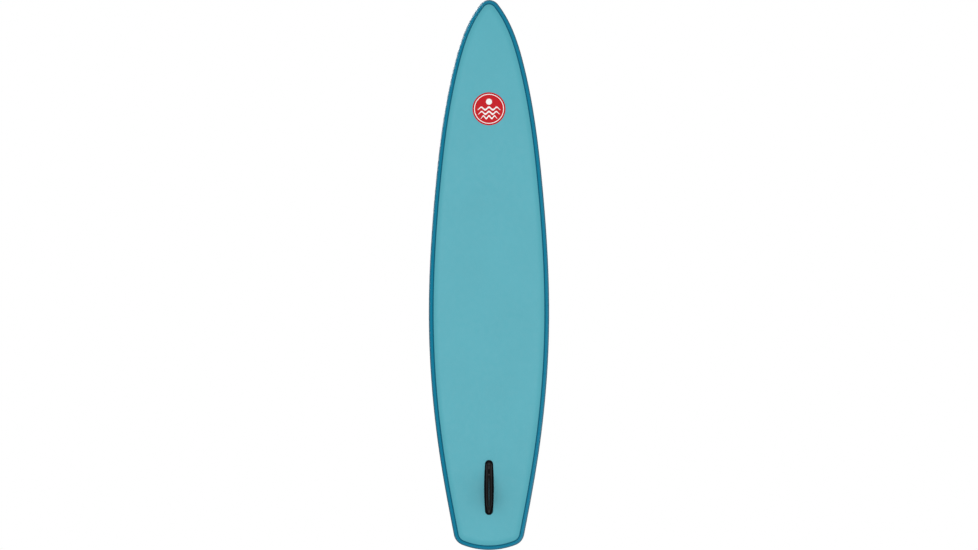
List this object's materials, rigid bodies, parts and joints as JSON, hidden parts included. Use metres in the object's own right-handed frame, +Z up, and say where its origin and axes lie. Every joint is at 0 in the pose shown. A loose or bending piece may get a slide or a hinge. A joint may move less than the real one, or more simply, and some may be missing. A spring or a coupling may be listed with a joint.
{
  "type": "stand up paddleboard",
  "caption": "Inflatable touring stand up paddleboard with rail bands, deck pad, grab handles, D rings, push valve and a slide-in fin.",
  "frame": {"origin": "middle of the flat stretch of the hull underside, halfway along the board", "axes": "+X towards the nose, +Y to port, +Z up out of the deck"},
  "size_m": [3.8097, 0.831, 0.536],
  "materials": {
    "hull_skin": "satin",
    "deck_skin": "satin",
    "rail_skin": "satin",
    "seam_tape": "satin",
    "thread": "matte",
    "eva_foam": "matte",
    "patch": "satin",
    "webbing": "matte",
    "grip": "matte",
    "stainless": "polished",
    "valve_plastic": "satin",
    "seal_rubber": "matte",
    "box_base": "satin",
    "box_plastic": "satin",
    "fin_plastic": "satin",
    "brass": "satin",
    "emblem": "satin"
  },
  "bodies": {
    "root": {"hull_panel": "hull_skin", "deck_panel": "deck_skin", "rail_band_left": "rail_skin", "rail_band_right": "rail_skin", "hull_seam_tape": "seam_tape", "deck_seam_tape": "seam_tape", "drop_stitch_threads": "thread", "deck_pad": "eva_foam", "kick_pad": "eva_foam", "carry_handle_patches": "patch", "nose_handle_patches": "patch", "tail_handle_patches": "patch", "cargo_ring_patches": "patch", "leash_ring_patch": "patch", "valve_patch": "patch", "carry_handle_tabs": "webbing", "nose_handle_tabs": "webbing", "tail_handle_tabs": "webbing", "cargo_ring_loops": "webbing", "leash_ring_loop": "webbing", "valve_body": "valve_plastic", "valve_clamp_nut": "valve_plastic", "valve_gasket": "seal_rubber", "fin_box_base": "box_base", "fin_box": "box_plastic", "hull_emblem": "emblem", "valve_spring": "stainless"},
    "carry_handle": {"carry_handle_webbing": "webbing", "carry_handle_grip": "grip"},
    "nose_handle": {"nose_handle_webbing": "webbing"},
    "tail_handle": {"tail_handle_webbing": "webbing"},
    "cargo_ring_nose_left": {"cargo_ring_nose_left": "stainless"},
    "cargo_ring_nose_right": {"cargo_ring_nose_right": "stainless"},
    "cargo_ring_front_left": {"cargo_ring_front_left": "stainless"},
    "cargo_ring_front_right": {"cargo_ring_front_right": "stainless"},
    "cargo_ring_rear_left": {"cargo_ring_rear_left": "stainless"},
    "cargo_ring_rear_right": {"cargo_ring_rear_right": "stainless"},
    "cargo_ring_tail_left": {"cargo_ring_tail_left": "stainless"},
    "cargo_ring_tail_right": {"cargo_ring_tail_right": "stainless"},
    "leash_ring": {"leash_ring": "stainless"},
    "valve_cap_seal": {"valve_cap_seal": "seal_rubber"},
    "valve_cap": {"valve_cap": "valve_plastic"},
    "valve_plunger": {"valve_plunger": "valve_plastic", "valve_plunger_seal": "seal_rubber"},
    "fin": {"fin_blade": "fin_plastic", "fin_pin": "brass", "fin_nut_plate": "stainless"},
    "fin_screw": {"fin_screw": "stainless"}
  },
  "joints": [
    {"name": "carry_handle_swing", "type": "hinge", "parent": "root", "child": "carry_handle", "pos_m": [0, 0, 0.1653], "axis": [1, 0, 0], "range_deg": [-55, 55], "stiffness_Nm_per_rad": 0.4},
    {"name": "nose_handle_swing", "type": "hinge", "parent": "root", "child": "nose_handle", "pos_m": [1.58716, 0, 0.28494], "axis": [0.9819, 0, 0.1896], "range_deg": [-55, 55], "stiffness_Nm_per_rad": 0.4},
    {"name": "tail_handle_swing", "type": "hinge", "parent": "root", "child": "tail_handle", "pos_m": [-1.717, 0, 0.19631], "axis": [0.9978, 0, -0.0665], "range_deg": [-55, 55], "stiffness_Nm_per_rad": 0.4},
    {"name": "cargo_ring_nose_left_swing", "type": "hinge", "parent": "root", "child": "cargo_ring_nose_left", "pos_m": [1.32923, 0.118, 0.23122], "axis": [0.9893, 0, 0.1461], "range_deg": [0, 160]},
    {"name": "cargo_ring_nose_right_swing", "type": "hinge", "parent": "root", "child": "cargo_ring_nose_right", "pos_m": [1.32923, -0.118, 0.23122], "axis": [-0.9893, 0, -0.1461], "range_deg": [0, 160]},
    {"name": "cargo_ring_front_left_swing", "type": "hinge", "parent": "root", "child": "cargo_ring_front_left", "pos_m": [0.89957, 0.205, 0.18254], "axis": [0.9967, 0, 0.0806], "range_deg": [0, 160]},
    {"name": "cargo_ring_front_right_swing", "type": "hinge", "parent": "root", "child": "cargo_ring_front_right", "pos_m": [0.89957, -0.205, 0.18254], "axis": [-0.9967, 0, -0.0806], "range_deg": [0, 160]},
    {"name": "cargo_ring_rear_left_swing", "type": "hinge", "parent": "root", "child": "cargo_ring_rear_left", "pos_m": [-1.38478, 0.198, 0.16888], "axis": [0.9992, 0, -0.0406], "range_deg": [0, 160]},
    {"name": "cargo_ring_rear_right_swing", "type": "hinge", "parent": "root", "child": "cargo_ring_rear_right", "pos_m": [-1.38478, -0.198, 0.16888], "axis": [-0.9992, 0, 0.0406], "range_deg": [0, 160]},
    {"name": "cargo_ring_tail_left_swing", "type": "hinge", "parent": "root", "child": "cargo_ring_tail_left", "pos_m": [-1.63968, 0.15, 0.18169], "axis": [0.9982, 0, -0.0601], "range_deg": [0, 160]},
    {"name": "cargo_ring_tail_right_swing", "type": "hinge", "parent": "root", "child": "cargo_ring_tail_right", "pos_m": [-1.63968, -0.15, 0.18169], "axis": [-0.9982, 0, 0.0601], "range_deg": [0, 160]},
    {"name": "leash_ring_swing", "type": "hinge", "parent": "root", "child": "leash_ring", "pos_m": [-1.54572, 0, 0.17638], "axis": [0, 1, 0], "range_deg": [0, 160]},
    {"name": "valve_cap_lift", "type": "slide", "parent": "root", "child": "valve_cap_seal", "axis": [0, 0, 1], "range_m": [0, 0.03]},
    {"name": "valve_cap_turn", "type": "hinge", "parent": "valve_cap_seal", "child": "valve_cap", "pos_m": [-1.44, 0, 0.16763], "axis": [0, 0, 1], "range_deg": [0, 90]},
    {"name": "valve_plunger_push", "type": "slide", "parent": "root", "child": "valve_plunger", "axis": [0, 0, -1], "range_m": [0, 0.005], "stiffness_N_per_m": 900, "springref_m": -0.003, "deforming": ["valve_spring"]},
    {"name": "fin_trim", "type": "slide", "parent": "root", "child": "fin", "axis": [0.9989, 0, -0.0468], "range_m": [-0.032, 0.018]},
    {"name": "fin_screw_turn", "type": "hinge", "parent": "fin", "child": "fin_screw", "pos_m": [-1.38003, 0, -0.00723], "axis": [0.0468, 0, 0.9989], "continuous": true}
  ]
}
